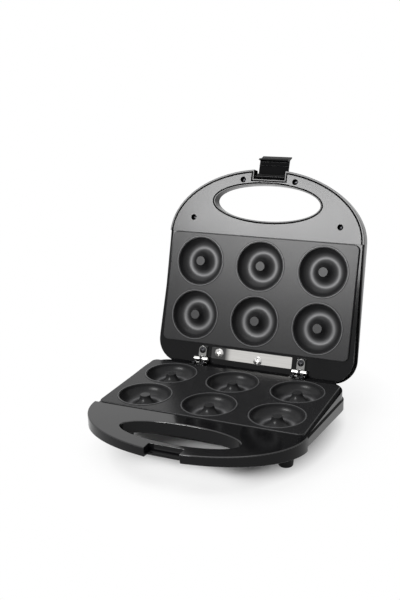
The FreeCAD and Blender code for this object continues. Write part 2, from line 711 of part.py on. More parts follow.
def lid_shell_cuts(shell):
    cuts = [cover_slab(COVER_MARGIN - SEAT).cut(notch(COVER_MARGIN - SEAT, 0, FAR)),
            grip(0, 0, FAR), notch(0, 0, FAR), bezel_plug(SEAT)]
    cuts += handle_bosses(PANEL_BACK, PANEL_BACK + SCREW_BITE, SCREW_R)
    for x, y in boss_places():
        cuts.append(rod(x, y, 0, FAR, SCREW_R + RUNNING))
        cuts.append(rod(x, y, lid_head_z(), FAR, SCREW_HEAD_R + SEAT))
    reach = NOTCH_HALF + GRIP_WALL
    cuts.append(cross_rod(-reach, reach, LATCH_PIVOT_Y, LATCH_PIVOT_Z, LATCH_PIN_R + RUNNING))
    for side in SIDES:
        cuts.append(rod(side * HINGE_X, lid_tab_hole_y(), 0, COLLAR_Z + COLLAR_T, LID_TAB_HOLE_R))
    for x, y in STRIP_SCREWS:
        cuts.append(rod(x, y, 0, COLLAR_Z + COLLAR_T, SCREW_R))
    return shell.cut(cuts).removeSplitter()


def lid_head_z():
    return PLATE_GAP + PLATE_BOSS_DEPTH + TUB_WALL


def lid_top_cover():
    cover = cover_slab(COVER_MARGIN)
    return cover.cut([grip(GRIP_WALL + SEAT, 0, FAR), notch(COVER_MARGIN, 0, FAR), bezel_plug(SEAT)])


def lid_handle_panel():
    z0, z1 = PLATE_GAP, PLATE_GAP + PANEL_T
    panel = handle_prism(LID_WALL + PANEL_GAP, SPLIT_Y, z0, z1)
    clear = GRIP_WALL + PANEL_GAP
    panel = panel.fuse(handle_bosses(z0, PANEL_BACK, PANEL_CUP_R + PANEL_CUP_WALL))
    panel = panel.cut([grip(clear, z0, PANEL_BACK), notch(clear, z0, PANEL_BACK)])
    panel = panel.cut(handle_bosses(z0, PANEL_BACK, SCREW_R + RUNNING))
    return panel.cut(handle_bosses(z0, z0 + PANEL_CUP_DEPTH, PANEL_CUP_R)).removeSplitter()


# Lens bezel, lenses and lamps, made flat and then laid on the sloping cover
def on_cover(shape):
    shape = shape.copy()
    shape.rotate(Vector(0, 0, 0), Vector(1, 0, 0), math.degrees(math.atan(LID_SLOPE)))
    return shape.translate(Vector(0, BEZEL_Y, lid_top_z(BEZEL_Y)))


def bezel_plug(extra):
    inset = BEZEL_PLUG_INSET - extra
    plug = oval(BEZEL_HALF_X - inset, BEZEL_HALF_Y - inset, 0, -BEZEL_PLUG_L, 0)
    return on_cover(plug)


def lens_bezel():
    inset = BEZEL_PLUG_INSET
    body = oval(BEZEL_HALF_X, BEZEL_HALF_Y, 0, 0, BEZEL_T)
    body = body.fuse(oval(BEZEL_HALF_X - inset, BEZEL_HALF_Y - inset, 0, -BEZEL_PLUG_L, 0))
    for side in SIDES:
        body = body.cut(rod(side * LENS_X, 0, -BEZEL_PLUG_L, BEZEL_T, LENS_R + RUNNING))
    return on_cover(body)


def lens(side):
    dome_r = (LENS_R ** 2 + LENS_RISE ** 2) / (2 * LENS_RISE)
    x = side * LENS_X
    top = BEZEL_T + LENS_RISE
    ball = Part.makeSphere(dome_r, Vector(x, 0, top - dome_r))
    return on_cover(rod(x, 0, -BEZEL_T, top, LENS_R).common(ball))


def lamps():
    top = -BEZEL_T - SEAT
    return [on_cover(rod(side * LENS_X, 0, top - LAMP_L, top, LAMP_R)) for side in SIDES]


# Latch clip, made hooked under the rail of the lower handle, with a tab below to lift it by
def latch_clip():
    half = LATCH_W / 2
    outer = -LATCH_ARM_OUT
    inner = outer + LATCH_ARM_T
    hook = RAIL_LOW - LATCH_PIVOT_Z - LATCH_HOOK_PLAY
    low = hook - LATCH_HOOK_T
    tip = outer + LATCH_HOOK_REACH
    end = low - LATCH_TAB_DROP
    tab = outer - LATCH_TAB_OUT
    points = [(outer, LATCH_BARREL_R), (outer, low), (tab, end), (tab, end - LATCH_TAB_T),
              (inner, low), (tip - LATCH_HOOK_T, low), (tip, hook), (inner, hook),
              (inner, 0), (0, 0), (0, LATCH_BARREL_R)]
    radii = [LATCH_ROUND, LATCH_HOOK_T, 0, 0, 0, 0, 0, LATCH_HOOK_T / 2, 0, 0, 0]
    clip = side_prism(points, radii, half)
    clip = clip.fuse([cross_rod(-half, half, 0, 0, LATCH_BARREL_R),
                      cross_rod(-half, half, inner, -LATCH_RIB_DROP, LATCH_RIB_R)])
    clip = clip.cut(cross_rod(-half, half, 0, 0, LATCH_PIN_R + RUNNING)).removeSplitter()
    return clip.translate(Vector(0, LATCH_PIVOT_Y, LATCH_PIVOT_Z))


def latch_pin():
    reach = NOTCH_HALF + GRIP_WALL
    return cross_rod(-reach, reach, LATCH_PIVOT_Y, LATCH_PIVOT_Z, LATCH_PIN_R)


# Hinges: the lower leaf has two knuckles, the lid's tab has the short one between them
def hinge_screw(side, place):
    return side * HINGE_X + place * (KNUCKLE_L - SCREW_HEAD_R / 2), HINGE_Y - KNUCKLE_R - LEAF_L / 2


def lid_tab_hole_y():
    return HINGE_Y - KNUCKLE_R - LEAF_L + LID_TAB_W / 2


def hinge_base_leaf(side):
    x = side * HINGE_X
    inner = KNUCKLE_MID_L / 2 + KNUCKLE_PLAY
    outer = inner + KNUCKLE_L
    front = HINGE_Y - KNUCKLE_R - LEAF_L
    leaf = box(x - outer, x + outer, front, HINGE_Y, PAD_Z, PAD_Z + LEAF_T)
    knuckle = cross_rod(x - outer, x + outer, HINGE_Y, HINGE_Z, KNUCKLE_R)
    leaf = leaf.fuse(knuckle)
    leaf = leaf.cut(box(x - inner, x + inner, HINGE_Y - KNUCKLE_R - KNUCKLE_PLAY, FAR, -FAR, FAR))
    leaf = leaf.cut(cross_rod(x - outer, x + outer, HINGE_Y, HINGE_Z, HINGE_PIN_R + RUNNING))
    holes = [rod(*hinge_screw(side, place), PAD_Z, PAD_Z + LEAF_T, SCREW_R + RUNNING) for place in SIDES]
    return leaf.cut(holes).removeSplitter()


def hinge_lid_leaf(side):
    x = side * HINGE_X
    half = KNUCKLE_MID_L / 2
    top = HINGE_Z + KNUCKLE_R
    tab_y = lid_tab_hole_y()
    tab_end = HINGE_Y - KNUCKLE_R - KNUCKLE_PLAY
    tab = box(x - LID_TAB_W / 2, x + LID_TAB_W / 2, tab_y, tab_end, top - LEAF_T, top)
    tab = tab.fuse(rod(x, tab_y, top - LEAF_T, top, LID_TAB_W / 2))
    tab = tab.fuse(box(x - half, x + half, tab_y, HINGE_Y, top - LEAF_T, top))
    tab = tab.fuse(cross_rod(x - half, x + half, HINGE_Y, HINGE_Z, KNUCKLE_R))
    tab = tab.cut(cross_rod(x - half, x + half, HINGE_Y, HINGE_Z, HINGE_PIN_R + RUNNING))
    return tab.cut(rod(x, tab_y, top - LEAF_T, top, LID_TAB_HOLE_R)).removeSplitter()


def hinge_pin(side):
    reach = KNUCKLE_MID_L / 2 + KNUCKLE_PLAY + KNUCKLE_L
    return cross_rod(side * HINGE_X - reach, side * HINGE_X + reach, HINGE_Y, HINGE_Z, HINGE_PIN_R)


def rear_strip():
    outline = rounded([(-STRIP_HALF_X, STRIP_FRONT), (STRIP_HALF_X, STRIP_FRONT),
                       (STRIP_HALF_X, STRIP_REAR), (-STRIP_HALF_X, STRIP_REAR)], [STRIP_T] * 4)
    strip = prism(outline, COLLAR_Z - STRIP_T, COLLAR_Z)
    return strip.cut([rod(x, y, COLLAR_Z - STRIP_T, COLLAR_Z, SCREW_R + RUNNING) for x, y in STRIP_SCREWS])


# Screws point along +z from the under face of the head, and are laid in place by their direction
def screw(at, direction, length, head_r=SCREW_HEAD_R):
    shank = Part.makeCylinder(SCREW_R, length, Vector(*at), Vector(*direction))
    head = Part.makeCylinder(head_r, SCREW_HEAD_T, Vector(*at), Vector(*direction) * -1)
    return shank.fuse(head).removeSplitter()


def base_plate_screws():
    length = -SHIELD_Z - PLATE_BOSS_DEPTH / 2
    return [screw((x, y, SHIELD_Z), (0, 0, 1), length) for x, y in boss_places()]


def lid_plate_screws():
    length = lid_head_z() - PLATE_GAP - PLATE_BOSS_DEPTH / 2
    return [screw((x, y, lid_head_z()), (0, 0, -1), length) for x, y in boss_places()]


def lid_handle_screws():
    z = PLATE_GAP + PANEL_CUP_DEPTH
    return [screw((side * x, y, z), (0, 0, 1), SCREW_BITE) for x, y in HANDLE_SCREWS for side in SIDES]


def base_handle_low_z(y):
    share = (y - HANDLE_FRONT) / (SPLIT_Y - HANDLE_FRONT)
    return BASE_HANDLE_LOW_FRONT + (BASE_HANDLE_LOW_REAR - BASE_HANDLE_LOW_FRONT) * share


def base_handle_screws():
    return [screw((side * x, y, base_handle_low_z(y) - SEAT), (0, 0, 1), SCREW_BITE)
            for x, y in HANDLE_SCREWS for side in SIDES]


def tub_handle_screws():
    y = SPLIT_Y + TUB_FRONT_WALL + FIT
    return [screw((x, y, TUB_SCREW_Z), (0, -1, 0), TUB_FRONT_WALL + HANDLE_WALL) for x in TUB_SCREW_X]


def hinge_base_screws():
    z = PAD_Z + LEAF_T
    return [screw((*hinge_screw(side, place), z), (0, 0, -1), TUB_WALL + LEAF_T)
            for side in SIDES for place in SIDES]


def hinge_lid_screws():
    z = HINGE_Z + KNUCKLE_R - LEAF_T
    return [screw((side * HINGE_X, lid_tab_hole_y(), z), (0, 0, 1), COLLAR_T + LEAF_T) for side in SIDES]


def rear_strip_screws():
    z = COLLAR_Z - STRIP_T
    return [screw((x, y, z), (0, 0, 1), COLLAR_T, STRIP_HEAD_R) for x, y in STRIP_SCREWS]


# Thermostat and fuse on the back of the lower plate, terminal block by the cord inlet
def thermostat():
    return rod(PLATE_BOSS_X, 0, -PLATE_T - THERMOSTAT_H, -PLATE_T, THERMOSTAT_R)


def thermal_fuse():
    x = -PLATE_BOSS_X - FUSE_L / 2
    return cross_rod(x, x + FUSE_L, 0, -PLATE_T - FUSE_R, FUSE_R)


def terminal_block():
    y = SHIELD_REAR + TUB_WALL
    x = INLET_X + INLET_W
    return box(x, x + BLOCK_L, y, y + BLOCK_D, BELLY_FLOOR, BELLY_FLOOR + BLOCK_H)


def build_base():
    parts = {
        "base_tub": base_tub(),
        "base_handle": base_handle(),
        "base_handle_underside": base_handle_underside(),
        "base_handle_screws": base_handle_screws(),
        "tub_handle_screws": tub_handle_screws(),
        "base_plate": cooking_plate(),
        "base_plate_screws": base_plate_screws(),
        "base_heating_element": heating_element(),
        "base_heat_shield": heat_shield(-SHIELD_REAR, SHIELD_REAR),
        "thermostat": thermostat(),
        "thermal_fuse": thermal_fuse(),
        "terminal_block": terminal_block(),
        "hinge_base_leaf_left": hinge_base_leaf(-1),
        "hinge_base_leaf_right": hinge_base_leaf(1),
        "hinge_pin_left": hinge_pin(-1),
        "hinge_pin_right": hinge_pin(1),
        "hinge_base_screws": hinge_base_screws(),
    }
    for name, (x, y) in foot_places().items():
        parts[name] = foot(x, y)
    return parts


def build_lid():
    return {
        "lid_shell": lid_shell(),
        "lid_top_cover": lid_top_cover(),
        "lid_handle_panel": lid_handle_panel(),
        "lid_handle_screws": lid_handle_screws(),
        "lid_plate": to_lid(cooking_plate()),
        "lid_plate_screws": lid_plate_screws(),
        "lid_heating_element": to_lid(heating_element()),
        "lid_heat_shield": to_lid(heat_shield(-SHIELD_REAR, -LID_SHIELD_FRONT)),
        "lens_bezel": lens_bezel(),
        "red_lens": lens(-1),
        "green_lens": lens(1),
        "indicator_lamps": lamps(),
        "hinge_lid_leaf_left": hinge_lid_leaf(-1),
        "hinge_lid_leaf_right": hinge_lid_leaf(1),
        "hinge_lid_screws": hinge_lid_screws(),
        "rear_strip": rear_strip(),
        "rear_strip_screws": rear_strip_screws(),
        "latch_pin": latch_pin(),
    }


def as_shape(piece):
    return Part.Compound(piece) if isinstance(piece, list) else piece


def build():
    """All pieces at rest: the lid stands open and the clip is swung out, over a floor at z = 0."""
    parts = {name: as_shape(piece) for name, piece in build_base().items()}
    lid = {name: as_shape(piece) for name, piece in build_lid().items()}
    clip = latch_clip()
    clip.rotate(Vector(0, LATCH_PIVOT_Y, LATCH_PIVOT_Z), Vector(1, 0, 0), -LATCH_SWING)
    lid["latch_clip"] = clip
    for name, shape in lid.items():
        shape.rotate(Vector(0, HINGE_Y, HINGE_Z), Vector(1, 0, 0), -LID_OPEN)
        parts[name] = shape
    bounds = Part.Compound(list(parts.values())).optimalBoundingBox()
    shift = Vector(0, -(bounds.YMin + bounds.YMax) / 2, -FLOOR)
    for shape in parts.values():
        shape.translate(shift)
    return parts, shift


def main():
    os.makedirs("parts", exist_ok=True)
    parts, shift = build()
    for name, shape in parts.items():
        shape.exportStep(f"parts/{name}.step")
    print(len(parts), "pieces, shifted by", tuple(round(v, 3) for v in shift))
    for name, shape in parts.items():
        print(name, shape.isValid(), len(shape.Solids), round(shape.Volume))
    return parts, shift


if __name__ == "__main__":
    main()
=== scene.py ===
import json
import math

import bmesh
import bpy
from mathutils import Matrix, Vector
from mathutils.bvhtree import BVHTree
from mathutils.geometry import intersect_line_line_2d
from mathutils.kdtree import KDTree


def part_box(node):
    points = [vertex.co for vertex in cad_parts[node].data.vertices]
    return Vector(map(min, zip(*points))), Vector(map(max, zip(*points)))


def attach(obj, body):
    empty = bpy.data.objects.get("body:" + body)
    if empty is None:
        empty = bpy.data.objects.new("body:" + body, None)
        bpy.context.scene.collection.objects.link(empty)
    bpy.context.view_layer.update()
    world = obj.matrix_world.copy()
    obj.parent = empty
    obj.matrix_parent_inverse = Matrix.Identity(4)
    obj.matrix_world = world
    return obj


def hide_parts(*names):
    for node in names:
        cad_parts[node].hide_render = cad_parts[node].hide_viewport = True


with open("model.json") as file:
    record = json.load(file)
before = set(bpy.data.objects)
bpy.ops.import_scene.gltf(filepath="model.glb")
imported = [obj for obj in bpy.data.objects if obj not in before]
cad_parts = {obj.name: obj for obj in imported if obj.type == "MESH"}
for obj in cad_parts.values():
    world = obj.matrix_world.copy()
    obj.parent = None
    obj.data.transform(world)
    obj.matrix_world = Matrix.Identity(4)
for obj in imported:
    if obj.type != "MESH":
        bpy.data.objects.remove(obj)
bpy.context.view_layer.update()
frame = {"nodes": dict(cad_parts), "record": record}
nodes = frame["nodes"]
record = frame["record"]
node_body = {name: body for body, names in record["behaviour"]["bodies"].items() for name in names}
travel = {joint["name"]: math.radians(joint["range_deg"][1]) for joint in record["behaviour"]["joints"]}

MM = 0.001
SIDES = ("left", "right")

# Directions: up, out of the open lid's inner side, and along the open lid from its hinges to its handle
UP = Vector((0, 0, 1))
LID_TURN = Matrix.Rotation(-travel["lid_hinge"], 3, "X")
LID_FACE = LID_TURN @ -UP
LID_UP = LID_TURN @ Vector((0, -1, 0))

# Camera, in the frame of the model
CAMERA_PLACE = Vector((337.2, -789.6, 407.9)) * MM
CAMERA_AZIMUTH = math.radians(24.88)
CAMERA_ELEVATION = math.radians(17.54)
CAMERA_ROLL = math.radians(-1.58)
CAMERA_FOCAL_PIXELS = 896.2
PICTURE_HEIGHT = 600
SENSOR = 36.0

# Floor and sky. Towards this half width and depth the paper runs out to white, by shares of the way
FLOOR_HALF_WIDTH = 12
PAPER_TONE = 0.93
PAPER_HALF_WIDTH = 0.23
PAPER_HALF_DEPTH = 0.30
PAPER_FADE = [(0.38, 0), (0.52, 0.8), (0.8, 1)]
SKY_LIGHT = 0.45

# Sockets of a Mix node that mixes colours
MIX_SHARE = 0
MIX_DARK = 6
MIX_PALE = 7
MIX_RESULT = 2

# Marks on the coating of a cooking plate, three of them painted highlights: their share at each depth, in
# millimetres below the lips
# Painted highlight: a pale line on the crests of the lips
LIP_CREST_HIGHLIGHT = [(0.04, 1), (0.1, 0)]
LIP_FLANK = [(0.04, 0), (0.1, 1), (0.42, 1), (0.47, 0)]
# Painted highlight: a faintly paler tone on the edges of the moulds and the tops of their posts
MOULD_EDGE_HIGHLIGHT = [(0.52, 0), (0.75, 1), (1.15, 1), (1.6, 0)]
MOULD_INSIDE = [(0.6, 0), (1.0, 1)]
# Painted highlight: a paler ring in the bottoms of the moulds
MOULD_BOTTOM_HIGHLIGHT = [(9.4, 0), (10.42, 0.1), (10.77, 0.21), (11.01, 0.44), (11.15, 0.8), (11.2, 1)]

# The painted dark reflection on the left end of the steel strip: its length, and how dark it is so many
# millimetres into it
STRIP_DARK_REFLECTION_LENGTH = 24 * MM
STRIP_DARK_REFLECTION_FADE = [(0, 0), (2, 0.1), (8, 1)]

# How far below its outermost point a piece changes its finish
PANEL_FACE = 0.5 * MM
HANDLE_TOP = 0.9 * MM
# Below these depths the hinge leaves are painted near black, as painted shade
BASE_LEAF_TOP = 3.6 * MM
LID_LEAF_TAB = 11 * MM

# Edge roundings
EDGE_SEGMENTS = 3
SHARP_EDGE = math.radians(28)
SMOOTH_TURN = math.radians(32)
COPLANAR = math.radians(0.05)
MERGE = 2e-6
ROUNDING_TRIES = 8

# In radii: the face a rounding needs on each side, its distance from a kept point, how far it may stray
ROUNDING_ROOM = 2.4
ROUNDING_KEPT = 2
ROUNDING_STRAY = 0.7

# The triangles of a face that crosses itself cover more than this many times the area of the face
CROSSED_COVER = 1.001

# Screw heads, in radii of the head, and the depth of their cross
CROSS_ARM = 0.62
CROSS_HALF_WIDTH = 0.14
CROSS_TAPER = 0.7
HEAD_DOME = 0.25
HEAD_SIDES = 36
CROSS_DEPTH = 0.75 * MM
LEVEL_SLACK = 0.05 * MM
LEVEL_DIGITS = 5
WIDE_HEAD = 1.4


# Shading
class Field:
    """A shader socket that can stand in a Python sum."""

    def __init__(self, shading, socket):
        self.shading = shading
        self.socket = socket

    def __add__(self, other):
        return self.shading.maths("ADD", self, other)

    def __sub__(self, other):
        return self.shading.maths("SUBTRACT", self, other)

    def __rsub__(self, other):
        return self.shading.maths("SUBTRACT", other, self)

    def __mul__(self, other):
        return self.shading.maths("MULTIPLY", self, other)

    __radd__ = __add__
    __rmul__ = __mul__


class Shading:
    """A node tree whose nodes are made by one method."""

    def __init__(self, tree):
        self.tree = tree

    def node(self, kind, settings, inputs, output=0):
        """One of the outputs of a new node, which gets its settings first and then its values and links."""
        made = self.tree.nodes.new(kind)
        for name, value in settings.items():
            if name == "stops":
                self.set_stops(made.color_ramp, value)
            else:
                setattr(made, name, value)
        for name, value in inputs.items():
            if isinstance(value, Field):
                self.tree.links.new(value.socket, made.inputs[name])
            else:
                made.inputs[name].default_value = value
        return Field(self, made.outputs[output]) if len(made.outputs) else None

    def set_stops(self, ramp, stops):
        while len(ramp.elements) < len(stops):
            ramp.elements.new(1.0)
        for element, (place, value) in zip(ramp.elements, stops):
            element.position = place
            element.color = (value, value, value, 1)

    def maths(self, operation, a, b):
        return self.node("ShaderNodeMath", {"operation": operation}, {0: a, 1: b})

    def ramp(self, field, stops):
        return self.node("ShaderNodeValToRGB", {"stops": stops}, {"Fac": field})

    def over(self, field, stops):
        """A ramp over a field in metres, with stops in millimetres.
        The field is scaled first, as a ramp has few steps between 0 and 1."""
        end = stops[-1][0]
        return self.ramp(field * (1 / (end * MM)), [(place / end, value) for place, value in stops])

    def looked_at(self):
        """1 for rays that see the background straight, in a mirror or through glass."""
        kinds = ("Is Camera Ray", "Is Glossy Ray", "Is Transmission Ray")
        straight, mirrored, through = [self.node("ShaderNodeLightPath", {}, {}, kind) for kind in kinds]
        return self.maths("MAXIMUM", self.maths("MAXIMUM", straight, mirrored), through)


class Finish(Shading):
    """A material on one Principled shader. Constants sit on its sockets, and fields feed what varies."""

    def __init__(self, name, **constants):
        self.material = bpy.data.materials.new(name)
        self.material.use_nodes = True
        super().__init__(self.material.node_tree)
        self.shader = self.tree.nodes["Principled BSDF"]
        for socket, value in constants.items():
            self.shader.inputs[socket.replace("_", " ")].default_value = value
        self.place = self.node("ShaderNodeTexCoord", {}, {}, "Object")

    def noise(self, size, detail=2.0, stretch=(1, 1, 1)):
        """Noise from 0 to 1 whose lumps are about size metres across, drawn out where stretch is small."""
        place = self.node("ShaderNodeMapping", {}, {"Vector": self.place, "Scale": stretch})
        inputs = {"Vector": place, "Scale": 1 / size, "Detail": detail}
        return self.node("ShaderNodeTexNoise", {}, inputs, "Fac")

    def specks(self, size, start, end):
        """Small round specks: 1 in their middles, 0 between them."""
        inputs = {"Vector": self.place, "Scale": 1 / size}
        cells = self.node("ShaderNodeTexVoronoi", {"feature": "F1"}, inputs)
        return self.ramp(cells, [(start, 1), (end, 0)])

    def depth_below(self, top, outward):
        """Metres below the plane that lies at top along the outward direction."""
        inputs = {0: self.place, 1: outward}
        along = self.node("ShaderNodeVectorMath", {"operation": "DOT_PRODUCT"}, inputs, "Value")
        return top - along

    def feed(self, socket, field):
        self.tree.links.new(field.socket, self.shader.inputs[socket])

    def colour(self, dark, pale, share):
        """The base colour, from dark to pale as the share goes from 0 to 1."""
        inputs = {MIX_SHARE: share, MIX_DARK: (*dark, 1), MIX_PALE: (*pale, 1)}
        self.feed("Base Color", self.node("ShaderNodeMix", {"data_type": "RGBA"}, inputs, MIX_RESULT))

    def bump(self, height, depth, strength):
        inputs = {"Height": height, "Distance": depth, "Strength": strength}
        self.feed("Normal", self.node("ShaderNodeBump", {}, inputs))


# Finishes
def gloss_plastic(name, shine):
    """Moulded black plastic with a high polish, a faint flow in it and fine rub marks."""
    finish = Finish(name, Specular_IOR_Level=shine)
    rubs = finish.ramp(finish.noise(0.7 * MM, detail=3.0, stretch=(0.12, 1, 1)), [(0.55, 0), (0.8, 1)])
    flow = finish.noise(28 * MM)
    finish.colour((0.003, 0.003, 0.0033), (0.005, 0.005, 0.0055), flow)
    finish.feed("Roughness", 0.07 + 0.05 * flow + 0.07 * rubs)
    finish.bump(finish.noise(34 * MM, detail=1.0), depth=0.25 * MM, strength=0.2)
    return finish.material


def panel_plastic():
    """The flat handle panel: the same black with a satin polish, which takes a broad soft reflection."""
    finish = Finish("panel_plastic", Specular_IOR_Level=0.21)
    cloud = finish.noise(40 * MM)
    grain = finish.noise(0.45 * MM, detail=3.0)
    finish.colour((0.013, 0.013, 0.014), (0.021, 0.021, 0.022), grain)
    finish.feed("Roughness", 0.165 + 0.04 * cloud + 0.02 * grain)
    finish.bump(cloud, depth=0.05 * MM, strength=0.1)
    return finish.material


def satin_plastic():
    """Black plastic with a fine eroded grain, as on the hidden undersides."""
    finish = Finish("satin_plastic")
    grain = finish.noise(0.5 * MM, detail=3.0)
    finish.colour((0.009, 0.009, 0.010), (0.017, 0.017, 0.018), grain)
    finish.feed("Roughness", 0.36 + 0.16 * grain + 0.05 * finish.noise(20 * MM))
    finish.bump(grain, depth=0.06 * MM, strength=0.45)
    return finish.material


def grained_cover():
    """Charcoal top cover with a matt eroded grain."""
    finish = Finish("grained_cover")
    grain = finish.noise(0.5 * MM, detail=3.0)
    finish.colour((0.026, 0.027, 0.031), (0.046, 0.047, 0.053), grain)
    finish.feed("Roughness", 0.46 + 0.16 * grain + 0.06 * finish.noise(35 * MM))
    finish.bump(grain, depth=0.09 * MM, strength=0.55)
    return finish.material


def nonstick(node, outward):
    """Sprayed dark coating over cast aluminium, with a soft sheen and a fine grain that fades in the moulds.
    The lips are dull on their flanks. Painted highlights: a pale line on the crests of the lips, a faint
    paler tone on the edges of the moulds and the tops of their posts, and a paler ring in the mould bottoms."""
    finish = Finish(node + "_coating", Specular_IOR_Level=0.16)
    patches = finish.ramp(finish.noise(2.5 * MM), [(0.45, 0), (0.62, 1)])
    fleck = finish.specks(1.0 * MM, 0.10, 0.30) * patches
    cloud = finish.noise(0.8 * MM, detail=3.0)
    drift = finish.noise(25 * MM)
    top = max(v.co.dot(outward) for v in nodes[node].data.vertices)
    depth = finish.depth_below(top, outward)
    crest_highlight = finish.over(depth, LIP_CREST_HIGHLIGHT)
    flank = finish.over(depth, LIP_FLANK)
    edge = finish.over(depth, MOULD_EDGE_HIGHLIGHT)
    inside = finish.over(depth, MOULD_INSIDE)
    bottom_highlight = finish.over(depth, MOULD_BOTTOM_HIGHLIGHT)
    # The crest, edge and bottom shares paint highlights into the colour. Fleck and cloud are the coating's
    # own tone
    tone = 0.12 * fleck + 0.06 * cloud + 0.4 * crest_highlight + 0.05 * edge + 0.7 * bottom_highlight
    finish.colour((0.009, 0.009, 0.0095), (0.19, 0.19, 0.195), tone)
    finish.feed("Roughness", 0.215 + 0.06 * inside + 0.4 * flank + 0.04 * cloud + 0.02 * drift)
    finish.bump((1 - 0.8 * inside) * cloud, depth=0.05 * MM, strength=0.4)
    return finish.material


def rolled_steel(name, dark, bright, dark_reflection_from=None):
    """Plated steel sheet with faint rolling lines along its length.
    Where a place is given, what lies to the left of it is painted darker, as a painted dark reflection."""
    finish = Finish(name, Metallic=1.0)
    lines = finish.noise(1.2 * MM, detail=3.0, stretch=(0.03, 1, 1))
    tone = lines
    if dark_reflection_from is not None:
        # Painted dark reflection towards the left end of the strip
        dark_reflection = finish.over(finish.depth_below(dark_reflection_from, (1, 0, 0)), STRIP_DARK_REFLECTION_FADE)
        tone = (0.75 + 0.25 * lines) * (1 - dark_reflection)
    finish.colour(dark, bright, tone)
    finish.feed("Roughness", 0.05 + 0.05 * lines + 0.02 * finish.noise(9 * MM))
    finish.bump(lines, depth=0.02 * MM, strength=0.4)
    return finish.material


def plated_screw(name, dark, bright):
    """Turned screw metal, with a tone that drifts round the head."""
    finish = Finish(name, Metallic=1.0)
    tone = finish.noise(1.2 * MM)
    finish.colour(dark, bright, tone)
    finish.feed("Roughness", 0.24 + 0.2 * tone)
    return finish.material


def sheath_metal():
    """Heater sheath, dulled and slightly blued by heat."""
    finish = Finish("sheath_metal", Metallic=1.0)
    heat = finish.noise(14 * MM)
    finish.colour((0.10, 0.10, 0.12), (0.24, 0.21, 0.18), heat)
    finish.feed("Roughness", 0.38 + 0.2 * finish.noise(1 * MM))
    return finish.material


def coated_sheet():
    """Aluminised sheet of the heat shields, with a soft spangle."""
    finish = Finish("coated_sheet", Metallic=1.0)
    spangle = finish.noise(4 * MM, detail=3.0)
    finish.colour((0.46, 0.47, 0.48), (0.62, 0.63, 0.64), spangle)
    finish.feed("Roughness", 0.3 + 0.2 * spangle)
    return finish.material


def foot_plastic():
    """Matt black moulding of the feet."""
    finish = Finish("foot_plastic", Specular_IOR_Level=0.15)
    grain = finish.noise(0.5 * MM)
    finish.colour((0.004, 0.004, 0.004), (0.009, 0.009, 0.009), grain)
    finish.feed("Roughness", 0.42 + 0.16 * finish.noise(1.5 * MM))
    finish.bump(grain, depth=0.05 * MM, strength=0.4)
    return finish.material


def lens_plastic(name, deep, pale):
    """Clear coloured lens, its tone drifting a little at random."""
    finish = Finish(name, IOR=1.49, Coat_Weight=0.6, Coat_Roughness=0.03, Transmission_Weight=0.25)
    flow = finish.noise(5 * MM)
    finish.colour(deep, pale, flow)
    finish.feed("Roughness", 0.06 + 0.06 * flow)
    return finish.material


def small_part(name, dark, pale, roughness):
    """Plain moulded, ceramic or glass body of a small electrical piece."""
    finish = Finish(name)
    tone = finish.noise(1.5 * MM)
    finish.colour(dark, pale, tone)
    finish.feed("Roughness", roughness + 0.12 * tone)
    return finish.material


# Pieces
def dress(piece, material):
    """Gives a piece one finish in place of what it had."""
    piece.data.materials.clear()
    piece.data.materials.append(material)


def add_object(name, data):
    made = bpy.data.objects.new(name, data)
    bpy.context.scene.collection.objects.link(made)
    return made


def new_piece(name, bm, node, material):
    """A smoothly shaded mesh that stands for a node, on its body and in its material slot."""
    mesh = bpy.data.meshes.new(name)
    bm.to_mesh(mesh)
    bm.free()
    for layer in ("custom_normal", "sharp_edge", "sharp_face"):
        if layer in mesh.attributes:
            mesh.attributes.remove(mesh.attributes[layer])
    mesh.shade_smooth()
    mesh.set_sharp_from_angle(angle=SMOOTH_TURN)
    piece = add_object(name, mesh)
    dress(piece, material)
    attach(piece, node_body[node])
    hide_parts(node)
    return piece


def node_copy(node):
    """A copy of a node's mesh with its points merged and its flat faces joined."""
    bm = bmesh.new()
    bm.from_mesh(nodes[node].data)
    bmesh.ops.remove_doubles(bm, verts=bm.verts, dist=MERGE)
    bmesh.ops.dissolve_limit(bm, angle_limit=COPLANAR, verts=bm.verts, edges=bm.edges)
    return bm


def reach_from(edge, face):
    """How far a face goes from one of its edges."""
    start = edge.verts[0].co
    along = (edge.verts[1].co - start).normalized()
    return max(((v.co - start) - along * (v.co - start).dot(along)).length for v in face.verts)


def soft_edges(bm, radius):
    """The sharp edges with enough face on both sides for a rounding."""
    sharp = [e for e in bm.edges if len(e.link_faces) == 2 and e.calc_face_angle() > SHARP_EDGE]
    room = ROUNDING_ROOM * radius
    return [e for e in sharp if all(reach_from(e, face) > room for face in e.link_faces)]


def triangle_cover(bm):
    """The area that the triangles of each face cover together."""
    split = bm.copy()
    source = split.faces.layers.int.new("source")
    for i, face in enumerate(split.faces):
        face[source] = i
    bmesh.ops.triangulate(split, faces=split.faces)
    covered = [0.0] * len(bm.faces)
    for face in split.faces:
        covered[face[source]] += face.calc_area()
    split.free()
    return covered


def outline_crossings(face):
    """Where the outline of a face crosses itself: each crossing, and the starts of the two sides."""
    turn = face.normal.to_track_quat("Z", "Y")
    flat = [turn.inverted() @ v.co for v in face.verts]
    sides = list(zip(flat, flat[1:] + flat[:1]))
    points = []
    for i, (a, b) in enumerate(sides):
        for c, d in sides[i + 2:]:
            cross = a != d and intersect_line_line_2d(a.xy, b.xy, c.xy, d.xy)
            if cross:
                points += [turn @ cross.to_3d() + face.normal * a.z, turn @ a, turn @ c]
    return points


def crossings(bm):
    """The points where any face crosses itself."""
    bm.normal_update()
    points = []
    for face, area in zip(bm.faces, triangle_cover(bm)):
        if area > CROSSED_COVER * face.calc_area():
            points += outline_crossings(face)
    return points


